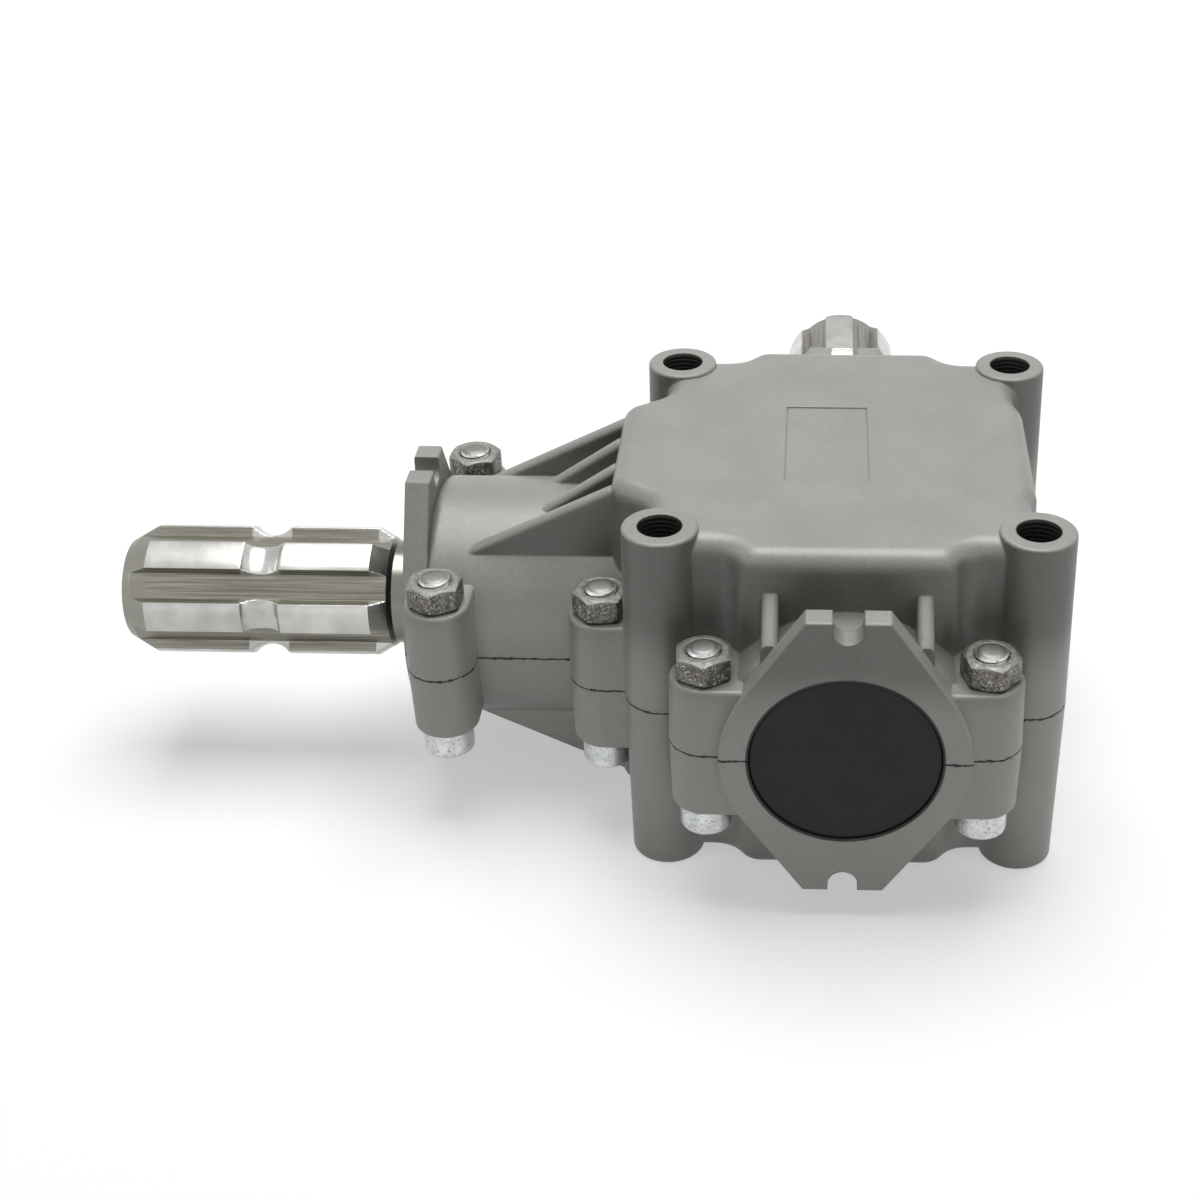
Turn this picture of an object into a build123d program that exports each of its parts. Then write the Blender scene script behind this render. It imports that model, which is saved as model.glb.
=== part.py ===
from build123d import *
from math import acos, asin, atan2, cos, degrees, pi, radians, sin, sqrt, tan
import os

# Right angle gearbox: a cast housing, split on the plane of its shafts, round a
# bevel gear pair. Millimetres, +Z up. The origin is the point where the two shaft
# axes cross, on the split plane. The input shaft lies along X and leaves towards -X.
# The output shaft lies along Y, leaves towards +Y, and ends behind a cap at -Y.

os.makedirs("parts", exist_ok=True)

# Corner columns, which carry the through bolts of whatever holds the gearbox
column_pitch = 91.0
column_radius = 10.0
column_draft = 0.7
column_bore = 11.0
column_half_height = 48.4
column_rim_round = 0.8
column_blend = 3.8

# Body of the casting, all reaches measured from the origin at the split
roof_drop = 1.0
side_reach = 57.8
side_recess = 51.2
side_bulge_half = 24.5
side_ramp = 5.5
blind_reach = 48.2
blind_recess = 46.5
blind_bulge_half = 22.0
blind_ramp = 6.0
arm_reach = 60.7
arm_recess = 49.5
arm_bulge_half = 22.0
arm_ramp = 8.0
plan_round = 7.0
body_draft = 1.0
roof_round = 5.0
casting_wall = 4.8

# Bare field on the roof
field_width = 21.3
field_length = 40.8
field_centre = -5.2
field_depth = 0.4

# Flanges round the three shaft mouths
input_face = 114.5
output_face = 74.5
plate_thickness = 6.5
neck_radius = 32.0
neck_round = 2.0
rim_radius = 30.8
lug_half_width = 10.0
lug_reach = 39.8
slot_width = 7.4
slot_depth = 6.0
plate_round = 0.6

# Clamp bolts and the bosses that they pass through
bolt_setback = 10.5
bolt_offset = 34.3
inner_bolt_from_origin = 61.5
inner_bolt_offset = 37.2
boss_radius = 8.9
boss_height = 18.5
boss_draft = 1.5
boss_round = 1.0
boss_root = 24.0
bolt_end_chamfer = 0.6
bolt_head_edge = 0.8
bolt_diameter = 8.0
bolt_clearance = 0.25
bolt_length = 45.0
head_diameter = 13.0
head_height = 8.0
socket_flats = 6.0
socket_depth = 4.0
nut_flats = 13.0
nut_height = 6.8
nut_cone_angle = 30.0
thread_gap = 0.05
nut_turns = (-7.0, -27.0, -13.0, -35.0, 9.0, 20.0, -15.0, 25.0)

# Gussets between the necks and the body
gusset_thickness = 4.2
outer_gusset_offset = 18.5
inner_gusset_offset = 7.0
gusset_top = 43.6
outer_gusset_tip = 102.4
outer_gusset_tip_height = 23.0
inner_gusset_tip = 79.5
inner_gusset_tip_height = 31.0
side_gusset_top = 37.0
side_gusset_tip_height = 29.0
gusset_round = 1.6

# Oil plugs in the blind wall
plug_diameter = 14.0
plug_height = 15.0
plug_length = 7.0
plug_collar_radius = 9.5
plug_collar_height = 3.0
plug_collar_edge = 0.6
plug_socket_flats = 6.0
plug_socket_depth = 5.0
plug_pad_radius = 11.5
plug_pad_stand = 1.6
washer_thickness = 1.5

# Ball bearings, all four alike
bearing_bore = 25.0
bearing_outside = 52.0
bearing_width = 15.0
ball_diameter = 7.9
ball_count = 9
inner_ring_shoulder = 31.8
outer_ring_shoulder = 45.2
race_gap = 0.05
cage_wall = 1.9
cage_side = 1.3
pocket_gap = 0.12
ring_edge = 0.8

# Shaft seals and end cap
seal_outside = 47.0
seal_width = 7.0
seal_sink = 0.5
seal_lip_gap = 0.05
seal_wall = 2.2
seal_lip_thickness = 2.4
seal_lip_edge = 1.2
seal_spring_radius = 0.6
shoulder_radius = 24.0
cap_disc = 2.6
cap_rim = 3.0
cap_edge = 0.5

# Shafts
spline_outside = 34.85
spline_root = 29.6
spline_count = 6
spline_land = 6.2
spline_foot = 11.0
spline_reach = 79.4
spline_end_radius = 13.4
spline_end_chamfer = 7.0
retaining_groove_from_end = 38.0
retaining_groove_radius = 6.8
retaining_groove_floor = 29.4
shaft_neck = 28.0
neck_cone_start = 12.1
neck_cone_end = 6.4
spline_root_start = 11.8
spline_run_out_end = 9.7
spline_run_out_radius = 16.0
input_spline_turn = 8.5
output_spline_turn = -2.4
shaft_edge = 1.0

# Bevel gear pair with its pitch cones meeting at the origin
gear_module = 3.25
pinion_teeth = 16
gear_teeth = 24
pressure_angle = 20.0
face_width = 14.0
tooth_thinning = 0.22
tooth_sink = 0.6
dedendum_factor = 1.25
pinion_bore = 20.0
pinion_front = 25.0
pinion_back = 47.0
pinion_nose_radius = 13.6
pinion_hub_radius = 17.0
gear_hub_radius = 18.5
gear_front = 13.0
gear_back = 36.0
gear_rim_radius = 34.0
gear_rim_inside = 30.0
gear_web_back = 29.5
gear_web_front = 17.5
pinion_key_width = 6.0
pinion_key_height = 6.0
pinion_key_length = 16.0
gear_key_width = 8.0
gear_key_height = 7.0
gear_key_length = 20.0
key_seat_share = 0.56
key_top_gap = 0.3

# Spacer tubes and retaining rings
spacer_wall = 3.4
circlip_thickness = 1.2
circlip_gap_angle = 24.0
circlip_width = 3.0
circlip_ear_radius = 2.6
circlip_ear_hole = 1.2
circlip_groove_depth = 0.7
circlip_slack = 0.1
shaft_end_past_ring = 1.6

# Fits between pieces that are seated in one another
seat_gap = 0.02

# How far cuts run past the faces that they open
cut_overrun = 1.0

# Heights and radii that follow from the values above
roof_height = column_half_height - roof_drop
column_root_radius = column_radius - 0.2
bearing_radius = bearing_outside / 2
bore_radius = bearing_bore / 2
journal_radius = bore_radius - seat_gap
ball_radius = ball_diameter / 2
ball_circle = (inner_ring_shoulder + outer_ring_shoulder) / 4
seal_shoulder = seal_width + 2 * seal_sink
bolt_radius = bolt_diameter / 2
pocket_radius = bearing_radius + seat_gap
gear_room_height = roof_height - casting_wall
up = Vector(0, 0, 1)


def mouth(inward, face):
    """The plane of a flange's face, facing into the housing, with its y axis up."""
    return Plane(origin=inward * -face, x_dir=up.cross(inward), z_dir=inward)


def shaft_line(outward):
    """The plane for turned profiles: x outwards along the shaft, y up from its axis."""
    return Plane(origin=(0, 0, 0), x_dir=outward, z_dir=outward.cross(up))


input_mouth = mouth(Vector(1, 0, 0), input_face)
front_mouth = mouth(Vector(0, 1, 0), output_face)
rear_mouth = mouth(Vector(0, -1, 0), output_face)
input_line = shaft_line(Vector(-1, 0, 0))
output_line = shaft_line(Vector(0, 1, 0))
front_line = shaft_line(Vector(0, -1, 0))


def line_axis(line):
    return Axis(line.origin, line.x_dir)


# Body outline at the split, as corner points that are rounded afterwards
def body_corners():
    far_side = [
        (blind_reach, blind_bulge_half),
        (blind_recess, blind_bulge_half + blind_ramp),
        (blind_recess, side_recess),
        (side_bulge_half + side_ramp, side_recess),
        (side_bulge_half, side_reach),
        (-side_bulge_half, side_reach),
        (-side_bulge_half - side_ramp, side_recess),
        (-arm_recess, side_recess),
        (-arm_recess, arm_bulge_half + arm_ramp),
        (-arm_reach, arm_bulge_half),
    ]
    return far_side + [(x, -y) for x, y in reversed(far_side)]


# Gussets: inclined webs that stiffen the necks, with rounded upper edges
def gusset(plane, outline):
    """A web of even thickness centred on a plane, from the corner points of its side."""
    with BuildPart() as web:
        with BuildSketch(plane):
            with BuildLine():
                Polyline(*outline, close=True)
            make_face()
        extrude(amount=gusset_thickness / 2, both=True)
        slope = web.faces().filter_by(lambda f: 0.2 < f.normal_at().Z < 0.98)
        fillet(slope.edges().filter_by(lambda e: e.length > gusset_thickness * 1.01), gusset_round)
    return web.part


def arm_gusset(offset, tip, tip_height):
    corners = [
        (-arm_reach + casting_wall, 0),
        (-arm_reach + casting_wall, gusset_top),
        (-arm_reach, gusset_top),
        (-tip, tip_height),
        (-tip, 0),
    ]
    return gusset(Plane.XZ.offset(-offset), corners)


def side_gusset(offset, side):
    inner = side * (side_reach - casting_wall)
    outer = side * (output_face - plate_thickness)
    corners = [
        (inner, 0),
        (inner, side_gusset_top),
        (side * side_reach, side_gusset_top),
        (outer, side_gusset_tip_height),
        (outer, 0),
    ]
    return gusset(Plane.YZ.offset(offset), corners)


gussets = []
for side in (-1, 1):
    gussets.append(arm_gusset(side * outer_gusset_offset, outer_gusset_tip, outer_gusset_tip_height))
    gussets.append(arm_gusset(side * inner_gusset_offset, inner_gusset_tip, inner_gusset_tip_height))
    gussets.append(side_gusset(-outer_gusset_offset, side))
    gussets.append(side_gusset(outer_gusset_offset, side))

# Clamp bolt places, in the order front pair, input flange pair, inner pair, rear pair
side_bolt_y = output_face - bolt_setback
input_bolt_x = -(input_face - bolt_setback)
bolt_places = [
    (-bolt_offset, -side_bolt_y),
    (bolt_offset, -side_bolt_y),
    (input_bolt_x, -bolt_offset),
    (-inner_bolt_from_origin, -inner_bolt_offset),
    (input_bolt_x, bolt_offset),
    (-inner_bolt_from_origin, inner_bolt_offset),
    (-bolt_offset, side_bolt_y),
    (bolt_offset, side_bolt_y),
]


def block(x_low, x_high, y_low, y_high):
    """A rectangle in the current sketch, from its limits."""
    with Locations(((x_low + x_high) / 2, (y_low + y_high) / 2)):
        Rectangle(abs(x_high - x_low), abs(y_high - y_low))


with BuildPart() as clamp_bosses:
    with BuildSketch(Plane.XY):
        with Locations(*bolt_places):
            Circle(boss_radius)
        for side in (-1, 1):
            for end in (-1, 1):
                front = end * (side_bolt_y + boss_radius)
                block(side * boss_root, side * bolt_offset, end * (side_recess - casting_wall), front)
            boss_front = input_bolt_x - boss_radius
            boss_back = input_bolt_x + boss_radius
            block(boss_front, boss_back, side * boss_root, side * bolt_offset)
            inner_end = -inner_bolt_from_origin - boss_radius
            block(inner_end, casting_wall - arm_recess, side * boss_root, side * inner_bolt_offset)
            outer_edge = side * (inner_bolt_offset + boss_radius)
            block(-inner_bolt_from_origin, casting_wall - arm_recess, side * boss_root, outer_edge)
    extrude(amount=boss_height, taper=boss_draft)
    fillet(clamp_bosses.faces().sort_by(Axis.Z)[-8:].edges(), boss_round)


def on_column(corner):
    """Whether a corner of the plan is where the wall runs into a column."""
    away = Vector(abs(corner.X) - column_pitch / 2, abs(corner.Y) - column_pitch / 2)
    return abs(away.length - column_root_radius) < 1e-4


# One half of the casting, above the split
with BuildPart() as body_block:
    with BuildSketch(Plane.XY) as body_plan:
        with BuildLine():
            Polyline(*body_corners(), close=True)
        make_face()
        fillet(body_plan.vertices(), plan_round)
        core_plan = offset(body_plan.sketch, amount=-casting_wall, mode=Mode.PRIVATE)
        with GridLocations(column_pitch, column_pitch, 2, 2):
            Circle(column_root_radius)
        fillet(body_plan.vertices().filter_by(on_column), column_blend)
    extrude(amount=roof_height)
    upright = body_block.faces().filter_by(lambda face: abs(face.normal_at().Z) < 0.5)
    draft(upright, Plane.XY, body_draft)
    fillet(body_block.faces().sort_by(Axis.Z)[-1].edges(), roof_round)

with BuildPart() as columns:
    with BuildSketch(Plane.XY):
        with GridLocations(column_pitch, column_pitch, 2, 2):
            Circle(column_radius)
    extrude(amount=column_half_height, taper=column_draft)
    fillet(columns.edges().group_by(Axis.Z)[-1], column_rim_round)

with BuildPart() as necks:
    for line, face, inner_end in (
        (input_line, input_face, arm_reach - casting_wall),
        (front_line, output_face, side_reach - casting_wall),
        (output_line, output_face, side_reach - casting_wall),
    ):
        shoulder = face - plate_thickness
        with BuildSketch(line) as neck_side:
            with Locations(((inner_end + shoulder) / 2, neck_radius / 2)):
                Rectangle(shoulder - inner_end, neck_radius)
            fillet(neck_side.vertices().sort_by_distance((shoulder, neck_radius))[0], neck_round)
        revolve(axis=line_axis(line))

def plate(plane):
    """A flange plate, with a slot in each of its two lugs."""
    slot_bottom = lug_reach - slot_depth + slot_width / 2
    with BuildPart() as flange:
        with BuildSketch(plane):
            Circle(rim_radius)
            Rectangle(2 * lug_half_width, 2 * lug_reach)
            make_hull()
        extrude(amount=plate_thickness)
        fillet(flange.edges().filter_by(plane), plate_round)
        with BuildSketch(plane):
            with Locations((0, slot_bottom), (0, -slot_bottom)):
                Circle(slot_width / 2)
            with Locations((0, lug_reach), (0, -lug_reach)):
                Rectangle(slot_width, 2 * (lug_reach - slot_bottom))
        extrude(amount=plate_thickness, mode=Mode.SUBTRACT)
    return flange.part


plates = [plate(plane) for plane in (input_mouth, front_mouth, rear_mouth)]


# The halves are joined up first, hollowed and bored as one, and parted last
with BuildPart() as half_casting:
    add(body_block.part)
    add(columns.part)
    add(necks.part)
    add(plates)
    add(clamp_bosses.part)
    add(gussets)
    # Hollow for the gears, kept clear of the columns
    with BuildSketch(Plane.XY):
        add(core_plan)
        with GridLocations(column_pitch, column_pitch, 2, 2):
            Circle(column_radius, mode=Mode.SUBTRACT)
    extrude(amount=gear_room_height, both=True, mode=Mode.SUBTRACT)
    # Ring that carries the inner input bearing
    with BuildSketch(input_line):
        block(pinion_back, arm_reach, bearing_radius, neck_radius - cut_overrun)
    revolve(axis=line_axis(input_line))
    # Bores for the seals, the cap and the bearings
    for line, face, inner_end, inner_radius in (
        (input_line, input_face, pinion_back - cut_overrun, shoulder_radius),
        (front_line, output_face, side_reach - 2 * casting_wall, pocket_radius),
        (output_line, output_face, side_reach - 2 * casting_wall, pocket_radius),
    ):
        pocket_end = face - seal_shoulder
        pocket_start = pocket_end - bearing_width
        with BuildSketch(line):
            block(pocket_end - cut_overrun, face + cut_overrun, 0, seal_outside / 2 + seat_gap)
            block(pocket_start, pocket_end, 0, pocket_radius)
            block(inner_end, pocket_start + cut_overrun, 0, inner_radius)
            inner_pocket_end = inner_end + cut_overrun + bearing_width
            block(inner_end, min(inner_pocket_end, pocket_end), 0, pocket_radius)
        revolve(axis=line_axis(line), mode=Mode.SUBTRACT)
    with BuildSketch(Plane.XY):
        with Locations(*bolt_places):
            Circle(bolt_radius + bolt_clearance)
        with GridLocations(column_pitch, column_pitch, 2, 2):
            Circle(column_bore / 2)
    extrude(amount=column_half_height + cut_overrun, both=True, mode=Mode.SUBTRACT)
    # Pad and hole for an oil plug in the blind wall
    plug_mouth = Plane(origin=(blind_reach + plug_pad_stand, 0, plug_height), z_dir=(1, 0, 0))
    with BuildSketch(plug_mouth.offset(-casting_wall)):
        Circle(plug_pad_radius)
    extrude(amount=casting_wall)
    with BuildSketch(plug_mouth):
        Circle(plug_diameter / 2 + thread_gap)
    extrude(amount=-plug_pad_stand - casting_wall - cut_overrun, mode=Mode.SUBTRACT)
    split(bisect_by=Plane.XY, keep=Keep.TOP)

with BuildPart() as upper_housing:
    add(half_casting.part)
    with BuildSketch(Plane.XY.offset(roof_height)):
        with Locations((field_centre, 0)):
            Rectangle(field_width, field_length)
    extrude(amount=-field_depth, mode=Mode.SUBTRACT)

with BuildPart() as lower_housing:
    mirror(half_casting.part, about=Plane.XY)


# Fasteners of the two halves
with BuildPart() as housing_bolts:
    with BuildSketch(Plane.XY.offset(-boss_height)):
        with Locations(*bolt_places):
            Circle(bolt_radius)
    extrude(amount=bolt_length)
    with BuildSketch(Plane.XY.offset(-boss_height)):
        with Locations(*bolt_places):
            Circle(head_diameter / 2)
    extrude(amount=-head_height)
    with BuildSketch(Plane.XY.offset(-boss_height - head_height)):
        with Locations(*bolt_places):
            RegularPolygon(socket_flats / 2, 6, major_radius=False)
    extrude(amount=socket_depth, mode=Mode.SUBTRACT)
    rims = housing_bolts.edges().filter_by(GeomType.CIRCLE).group_by(Axis.Z)
    chamfer(rims[-1], bolt_end_chamfer)
    fillet(rims[0], bolt_head_edge)

with BuildPart() as housing_nuts:
    with BuildSketch(Plane.XY.offset(boss_height)):
        for place, turn in zip(bolt_places, nut_turns):
            with Locations(place):
                RegularPolygon(nut_flats / 2, 6, major_radius=False, rotation=turn)
        with Locations(*bolt_places):
            Circle(bolt_radius + thread_gap, mode=Mode.SUBTRACT)
    extrude(amount=nut_height)
    # Nuts are turned to a cone at both ends, which leaves curved corners on the flats
    for place in bolt_places:
        with BuildSketch(Plane.XZ.offset(-place[1])) as nut_cone:
            corner = nut_flats / 2 / cos(pi / 6)
            drop = (corner - nut_flats / 2) * tan(radians(nut_cone_angle))
            with BuildLine():
                Polyline(
                    (place[0] + nut_flats / 2, boss_height + nut_height),
                    (place[0] + corner + drop, boss_height + nut_height),
                    (place[0] + corner + drop, boss_height + nut_height - 2 * drop),
                    close=True,
                )
            make_face()
        revolve(axis=Axis((place[0], place[1], 0), (0, 0, 1)), mode=Mode.SUBTRACT)


def across(line, distance):
    """The plane square to a shaft at a distance along it, facing outwards, with x up."""
    return Plane(origin=line.x_dir * distance, x_dir=line.y_dir, z_dir=line.x_dir)


# Ball bearings: each is two grooved rings, a cage and a ring of balls
def bearing(line, start):
    """The four pieces of a bearing whose inner end is at start along a shaft."""
    middle = start + bearing_width / 2
    with BuildPart() as outer_ring:
        with BuildSketch(line) as outer_section:
            block(start, start + bearing_width, outer_ring_shoulder / 2, bearing_radius)
            chamfer(outer_section.vertices().sort_by(Axis.Y)[-2:], ring_edge)
            with Locations((middle, ball_circle)):
                Circle(ball_radius + race_gap, mode=Mode.SUBTRACT)
        revolve(axis=line_axis(line))
    with BuildPart() as inner_ring:
        with BuildSketch(line) as inner_section:
            block(start, start + bearing_width, bore_radius, inner_ring_shoulder / 2)
            chamfer(inner_section.vertices().sort_by(Axis.Y)[:2], ring_edge)
            with Locations((middle, ball_circle)):
                Circle(ball_radius + race_gap, mode=Mode.SUBTRACT)
        revolve(axis=line_axis(line))
    with BuildPart(across(line, middle)) as balls:
        with PolarLocations(ball_circle, ball_count, 180 / ball_count):
            Sphere(ball_radius)
    cage_half_width = ball_radius + cage_side
    with BuildPart() as cage:
        with BuildSketch(line):
            cage_inside = ball_circle - cage_wall / 2
            cage_outside = cage_inside + cage_wall
            block(middle - cage_half_width, middle + cage_half_width, cage_inside, cage_outside)
        revolve(axis=line_axis(line))
        with Locations(across(line, middle)):
            with PolarLocations(ball_circle, ball_count, 180 / ball_count):
                Cylinder(ball_radius + pocket_gap, ball_diameter, rotation=(0, 90, 0), mode=Mode.SUBTRACT)
    return {"outer_ring": outer_ring, "inner_ring": inner_ring, "balls": balls, "cage": cage}


input_shoulder = input_face - seal_shoulder
output_shoulder = output_face - seal_shoulder
bearings = {
    "input_outer": bearing(input_line, input_shoulder - bearing_width),
    "input_inner": bearing(input_line, pinion_back),
    "rear": bearing(output_line, output_shoulder - bearing_width),
    "front": bearing(front_line, output_shoulder - bearing_width),
}


# Shafts: a splined end outside the housing, a seal land, journals and a gear seat
def splined_end(face):
    """Corners of a shaft's section from its bearing shoulder to its end."""
    end = face + spline_reach
    return [
        (face - seal_shoulder, journal_radius),
        (face - seal_shoulder, shaft_neck / 2),
        (face + neck_cone_end, shaft_neck / 2),
        (face + neck_cone_start, spline_outside / 2),
        (end - spline_end_chamfer, spline_outside / 2),
        (end, spline_end_radius),
        (end, 0),
    ]


def spline_spaces(line, face, turn):
    """What is cut away between the teeth, which run out on the cone before the mouth."""
    root = spline_root / 2
    end = face + spline_reach + shaft_edge
    flank_slope = (spline_foot - spline_land) / (spline_outside - spline_root)
    tooth_corners = []
    for radius in (root - shaft_edge, spline_outside / 2 + shaft_edge):
        half_width = spline_foot / 2 - (radius - root) * flank_slope
        tooth_corners.append((radius, half_width))
    tooth_corners += [(radius, -half_width) for radius, half_width in reversed(tooth_corners)]
    with BuildPart() as spaces:
        with BuildSketch(line):
            with BuildLine():
                Polyline(
                    (face + spline_run_out_end, spline_run_out_radius),
                    (face + spline_root_start, root),
                    (end, root),
                    (end, spline_outside),
                    (face + spline_run_out_end, spline_outside),
                    close=True,
                )
            make_face()
        revolve(axis=line_axis(line))
        with BuildSketch(across(line, face)):
            with PolarLocations(0, spline_count, start_angle=turn):
                Polygon(*tooth_corners, align=None)
        extrude(amount=end - face, mode=Mode.SUBTRACT)
    return spaces.part


def retaining_groove(face):
    """The round groove across the teeth, in the current sketch."""
    middle = face + spline_reach - retaining_groove_from_end
    with Locations((middle, retaining_groove_floor / 2 + retaining_groove_radius)):
        Circle(retaining_groove_radius)


def key_bed(line, middle, seat_radius, key_height):
    """The plane of a key's underside, at its middle."""
    depth = key_seat_share * key_height
    return Plane(origin=line.x_dir * middle + up * (seat_radius - depth), x_dir=line.x_dir, z_dir=up)


circlip_groove = circlip_thickness + circlip_slack
pinion_seat = pinion_bore / 2 - seat_gap
pinion_bed = key_bed(input_line, (pinion_front + pinion_back) / 2, pinion_seat, pinion_key_height)
gear_bed = key_bed(output_line, (gear_front + gear_back) / 2, journal_radius, gear_key_height)
input_nose = pinion_front - circlip_thickness - shaft_end_past_ring
output_nose = output_shoulder + circlip_thickness + shaft_end_past_ring

with BuildPart() as input_shaft:
    with BuildSketch(input_line):
        with BuildLine():
            Polyline(
                (input_nose, 0),
                (input_nose, pinion_seat - shaft_edge),
                (input_nose + shaft_edge, pinion_seat),
                (pinion_back, pinion_seat),
                (pinion_back, journal_radius),
                *splined_end(input_face),
                close=True,
            )
        make_face()
    revolve(axis=line_axis(input_line))
    add(spline_spaces(input_line, input_face, input_spline_turn), mode=Mode.SUBTRACT)
    with BuildSketch(input_line):
        block(pinion_front - circlip_groove, pinion_front, pinion_seat - circlip_groove_depth, pinion_bore)
        retaining_groove(input_face)
    revolve(axis=line_axis(input_line), mode=Mode.SUBTRACT)
    with BuildSketch(pinion_bed):
        SlotOverall(pinion_key_length + 2 * seat_gap, pinion_key_width + 2 * seat_gap)
    extrude(amount=pinion_key_height, mode=Mode.SUBTRACT)

with BuildPart() as output_shaft:
    with BuildSketch(output_line):
        with BuildLine():
            Polyline(
                (-output_nose, 0),
                (-output_nose, journal_radius - shaft_edge),
                (-output_nose + shaft_edge, journal_radius),
                *splined_end(output_face),
                close=True,
            )
        make_face()
    revolve(axis=line_axis(output_line))
    add(spline_spaces(output_line, output_face, output_spline_turn), mode=Mode.SUBTRACT)
    with BuildSketch(output_line):
        groove_floor = journal_radius - circlip_groove_depth
        block(-output_shoulder - circlip_groove, -output_shoulder, groove_floor, bearing_bore)
        retaining_groove(output_face)
    revolve(axis=line_axis(output_line), mode=Mode.SUBTRACT)
    with BuildSketch(gear_bed):
        SlotOverall(gear_key_length + 2 * seat_gap, gear_key_width + 2 * seat_gap)
    extrude(amount=gear_key_height, mode=Mode.SUBTRACT)

with BuildPart() as pinion_key:
    with BuildSketch(pinion_bed):
        SlotOverall(pinion_key_length, pinion_key_width)
    extrude(amount=pinion_key_height)

with BuildPart() as gear_key:
    with BuildSketch(gear_bed):
        SlotOverall(gear_key_length, gear_key_width)
    extrude(amount=gear_key_height)

# Bevel gears: straight teeth that all narrow towards the crossing of the shafts
pinion_cone = atan2(pinion_teeth, gear_teeth)
gear_cone = pi / 2 - pinion_cone
cone_distance = gear_module / 2 * sqrt(pinion_teeth**2 + gear_teeth**2)
toe_share = 1 - face_width / cone_distance
dedendum = dedendum_factor * gear_module
pressure = radians(pressure_angle)


def root_corner(cone, share):
    """The corner of a gear's section under its teeth, at a share of the cone distance."""
    along = cone_distance * cos(cone) + dedendum * sin(cone)
    out = cone_distance * sin(cone) - dedendum * cos(cone)
    return (along * share, out * share)


def back_cone_corner(cone, radius):
    """The corner where the cone behind the teeth has come in to a radius."""
    along, out = root_corner(cone, 1)
    return (along + (out - radius) * tan(cone), radius)


def bevel_tooth(line, teeth, cone):
    """The tooth above the shaft, drawn as an involute on the cone square to its pitch cone."""
    pitch_radius = cone_distance * tan(cone)
    base_radius = pitch_radius * cos(pressure)
    low_radius = max(base_radius, pitch_radius - dedendum)
    half_pitch = (pi * gear_module / 2 - tooth_thinning) / 2 / pitch_radius

    def involute(radius):
        angle = acos(min(1, base_radius / radius))
        return tan(angle) - angle

    def flank_point(radius, side):
        """The point of a flank at a radius, from the pitch point on the tooth's middle."""
        half_angle = half_pitch + involute(pitch_radius) - involute(max(radius, low_radius))
        return Vector(side * radius * sin(half_angle), radius * cos(half_angle) - pitch_radius)

    element = line.x_dir * cos(cone) + line.y_dir * sin(cone)
    outward = line.y_dir * cos(cone) - line.x_dir * sin(cone)
    flank_radii = (low_radius, pitch_radius, pitch_radius + gear_module)
    with BuildPart() as tooth:
        for share in (1, toe_share):
            middle = element * cone_distance * share
            place = Plane(origin=middle, x_dir=outward.cross(element), z_dir=element)
            left = [flank_point(radius, -1) * share for radius in flank_radii]
            right = [flank_point(radius, 1) * share for radius in flank_radii]
            buried_radius = pitch_radius - dedendum - tooth_sink
            buried = [flank_point(buried_radius, side) * share for side in (-1, 1)]
            with BuildSketch(place):
                with BuildLine():
                    Line(buried[0], left[0])
                    ThreePointArc(*left)
                    Line(left[2], right[2])
                    ThreePointArc(*right)
                    Line(right[0], buried[1])
                    Line(buried[1], buried[0])
                make_face()
        loft(ruled=True)
    return tooth.part


def tooth_ring(line, teeth, cone, turn):
    """All teeth of a gear, from the one above its shaft, turned by a share of a pitch."""
    first = bevel_tooth(line, teeth, cone)
    pitch = 360 / teeth
    return [first.rotate(line_axis(line), pitch * (number + turn)) for number in range(teeth)]


with BuildPart() as pinion:
    with BuildSketch(input_line):
        with BuildLine():
            Polyline(
                (pinion_front, pinion_bore / 2),
                (pinion_front, pinion_nose_radius),
                root_corner(pinion_cone, toe_share),
                root_corner(pinion_cone, 1),
                back_cone_corner(pinion_cone, pinion_hub_radius),
                (pinion_back, pinion_hub_radius),
                (pinion_back, pinion_bore / 2),
                close=True,
            )
        make_face()
    revolve(axis=line_axis(input_line))
    add(tooth_ring(input_line, pinion_teeth, pinion_cone, 0))
    with BuildSketch(pinion_bed):
        Rectangle(pinion_back, pinion_key_width + 2 * seat_gap)
    extrude(amount=pinion_key_height + key_top_gap, mode=Mode.SUBTRACT)

with BuildPart() as bevel_gear:
    with BuildSketch(output_line):
        with BuildLine():
            Polyline(
                (gear_front, bore_radius),
                (gear_front, gear_hub_radius),
                (gear_web_front, gear_hub_radius),
                root_corner(gear_cone, toe_share),
                root_corner(gear_cone, 1),
                back_cone_corner(gear_cone, gear_rim_radius),
                (back_cone_corner(gear_cone, gear_rim_radius)[0], gear_rim_inside),
                (gear_web_back, gear_rim_inside),
                (gear_web_back, gear_hub_radius),
                (gear_back, gear_hub_radius),
                (gear_back, bore_radius),
                close=True,
            )
        make_face()
    revolve(axis=line_axis(output_line))
    add(tooth_ring(output_line, gear_teeth, gear_cone, 0.5))
    with BuildSketch(gear_bed):
        Rectangle(gear_back, gear_key_width + 2 * seat_gap)
    extrude(amount=gear_key_height + key_top_gap, mode=Mode.SUBTRACT)


# Spacer tubes between the inner rings and the gear, and the rings that hold them all
def spacer(start, end):
    """A tube's section in the current sketch."""
    block(start, end, bore_radius, bore_radius + spacer_wall)


with BuildPart() as input_spacer:
    with BuildSketch(input_line):
        spacer(pinion_back + bearing_width, input_shoulder - bearing_width)
    revolve(axis=line_axis(input_line))

with BuildPart() as rear_spacer:
    with BuildSketch(output_line):
        spacer(gear_back, output_shoulder - bearing_width)
    revolve(axis=line_axis(output_line))

with BuildPart() as front_spacer:
    with BuildSketch(output_line):
        spacer(bearing_width - output_shoulder, gear_front)
    revolve(axis=line_axis(output_line))


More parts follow.
